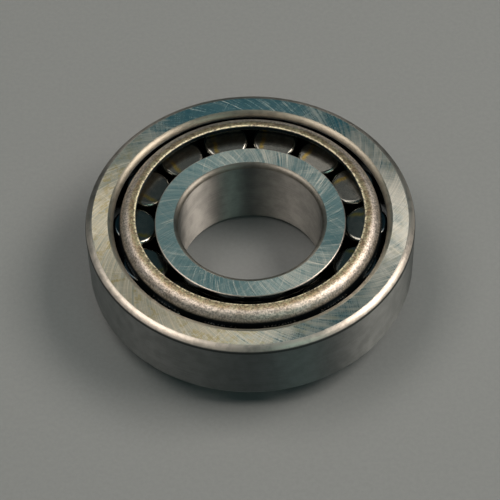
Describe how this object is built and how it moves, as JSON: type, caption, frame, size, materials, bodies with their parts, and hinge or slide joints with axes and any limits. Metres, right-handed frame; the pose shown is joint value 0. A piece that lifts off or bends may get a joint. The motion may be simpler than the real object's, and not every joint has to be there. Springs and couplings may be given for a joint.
{
  "type": "tapered roller bearing",
  "caption": "Single-row tapered roller bearing: thick outer cup, inner cone with a plain bore, and a pressed steel cage that spaces tapered rollers between them.",
  "frame": {"origin": "centre of the cone's back face, the lowest plane, on the bearing's axis", "axes": "+Z along the bearing's axis, from the cone's back face towards the cup's back face; +X near the first roller"},
  "size_m": [0.08, 0.08, 0.0242],
  "materials": {
    "cone_steel": "ground bearing steel, criss-cross grinding lines",
    "cup_steel": "ground bearing steel, faint oil stains",
    "roller_steel": "polished",
    "cage_steel": "pressed sheet, tumbled matt"
  },
  "bodies": {
    "cone": {"cone_inner_ring": "cone_steel"},
    "cup": {"cup_outer_ring": "cup_steel"},
    "cage": {"roller_cage": "cage_steel"},
    "roller_01": {"roller_01": "roller_steel"},
    "roller_02": {"roller_02": "roller_steel"},
    "roller_03": {"roller_03": "roller_steel"},
    "roller_04": {"roller_04": "roller_steel"},
    "roller_05": {"roller_05": "roller_steel"},
    "roller_06": {"roller_06": "roller_steel"},
    "roller_07": {"roller_07": "roller_steel"},
    "roller_08": {"roller_08": "roller_steel"},
    "roller_09": {"roller_09": "roller_steel"},
    "roller_10": {"roller_10": "roller_steel"},
    "roller_11": {"roller_11": "roller_steel"},
    "roller_12": {"roller_12": "roller_steel"},
    "roller_13": {"roller_13": "roller_steel"},
    "roller_14": {"roller_14": "roller_steel"}
  },
  "joints": [
    {"name": "cup_spin", "type": "hinge", "parent": "cone", "child": "cup", "pos_m": [0, 0, 0.01375], "axis": [0, 0, 1], "continuous": true},
    {"name": "cage_spin", "type": "hinge", "parent": "cone", "child": "cage", "pos_m": [0, 0, 0.0135], "axis": [0, 0, 1], "continuous": true},
    {"name": "roller_01_spin", "type": "hinge", "parent": "cage", "child": "roller_01", "pos_m": [0.02906, -0.00066, 0.01295], "axis": [-0.1721, 0.0039, 0.9851], "continuous": true},
    {"name": "roller_02_spin", "type": "hinge", "parent": "cage", "child": "roller_02", "pos_m": [0.02647, 0.01202, 0.01295], "axis": [-0.1567, -0.0711, 0.9851], "continuous": true},
    {"name": "roller_03_spin", "type": "hinge", "parent": "cage", "child": "roller_03", "pos_m": [0.01864, 0.02231, 0.01295], "axis": [-0.1103, -0.1321, 0.9851], "continuous": true},
    {"name": "roller_04_spin", "type": "hinge", "parent": "cage", "child": "roller_04", "pos_m": [0.00711, 0.02819, 0.01295], "axis": [-0.0421, -0.1669, 0.9851], "continuous": true},
    {"name": "roller_05_spin", "type": "hinge", "parent": "cage", "child": "roller_05", "pos_m": [-0.00582, 0.02848, 0.01295], "axis": [0.0345, -0.1686, 0.9851], "continuous": true},
    {"name": "roller_06_spin", "type": "hinge", "parent": "cage", "child": "roller_06", "pos_m": [-0.0176, 0.02313, 0.01295], "axis": [0.1042, -0.1369, 0.9851], "continuous": true},
    {"name": "roller_07_spin", "type": "hinge", "parent": "cage", "child": "roller_07", "pos_m": [-0.0259, 0.0132, 0.01295], "axis": [0.1533, -0.0782, 0.9851], "continuous": true},
    {"name": "roller_08_spin", "type": "hinge", "parent": "cage", "child": "roller_08", "pos_m": [-0.02906, 0.00066, 0.01295], "axis": [0.1721, -0.0039, 0.9851], "continuous": true},
    {"name": "roller_09_spin", "type": "hinge", "parent": "cage", "child": "roller_09", "pos_m": [-0.02647, -0.01202, 0.01295], "axis": [0.1567, 0.0711, 0.9851], "continuous": true},
    {"name": "roller_10_spin", "type": "hinge", "parent": "cage", "child": "roller_10", "pos_m": [-0.01864, -0.02231, 0.01295], "axis": [0.1103, 0.1321, 0.9851], "continuous": true},
    {"name": "roller_11_spin", "type": "hinge", "parent": "cage", "child": "roller_11", "pos_m": [-0.00711, -0.02819, 0.01295], "axis": [0.0421, 0.1669, 0.9851], "continuous": true},
    {"name": "roller_12_spin", "type": "hinge", "parent": "cage", "child": "roller_12", "pos_m": [0.00582, -0.02848, 0.01295], "axis": [-0.0345, 0.1686, 0.9851], "continuous": true},
    {"name": "roller_13_spin", "type": "hinge", "parent": "cage", "child": "roller_13", "pos_m": [0.0176, -0.02313, 0.01295], "axis": [-0.1042, 0.1369, 0.9851], "continuous": true},
    {"name": "roller_14_spin", "type": "hinge", "parent": "cage", "child": "roller_14", "pos_m": [0.0259, -0.0132, 0.01295], "axis": [-0.1533, 0.0782, 0.9851], "continuous": true}
  ],
  "couplings": [
    {"joint": "cage_spin", "follows": "cup_spin", "ratio": 0.59744},
    {"joint": "roller_01_spin", "follows": "cup_spin", "ratio": 2.4313},
    {"joint": "roller_02_spin", "follows": "cup_spin", "ratio": 2.4313},
    {"joint": "roller_03_spin", "follows": "cup_spin", "ratio": 2.4313},
    {"joint": "roller_04_spin", "follows": "cup_spin", "ratio": 2.4313},
    {"joint": "roller_05_spin", "follows": "cup_spin", "ratio": 2.4313},
    {"joint": "roller_06_spin", "follows": "cup_spin", "ratio": 2.4313},
    {"joint": "roller_07_spin", "follows": "cup_spin", "ratio": 2.4313},
    {"joint": "roller_08_spin", "follows": "cup_spin", "ratio": 2.4313},
    {"joint": "roller_09_spin", "follows": "cup_spin", "ratio": 2.4313},
    {"joint": "roller_10_spin", "follows": "cup_spin", "ratio": 2.4313},
    {"joint": "roller_11_spin", "follows": "cup_spin", "ratio": 2.4313},
    {"joint": "roller_12_spin", "follows": "cup_spin", "ratio": 2.4313},
    {"joint": "roller_13_spin", "follows": "cup_spin", "ratio": 2.4313},
    {"joint": "roller_14_spin", "follows": "cup_spin", "ratio": 2.4313}
  ]
}
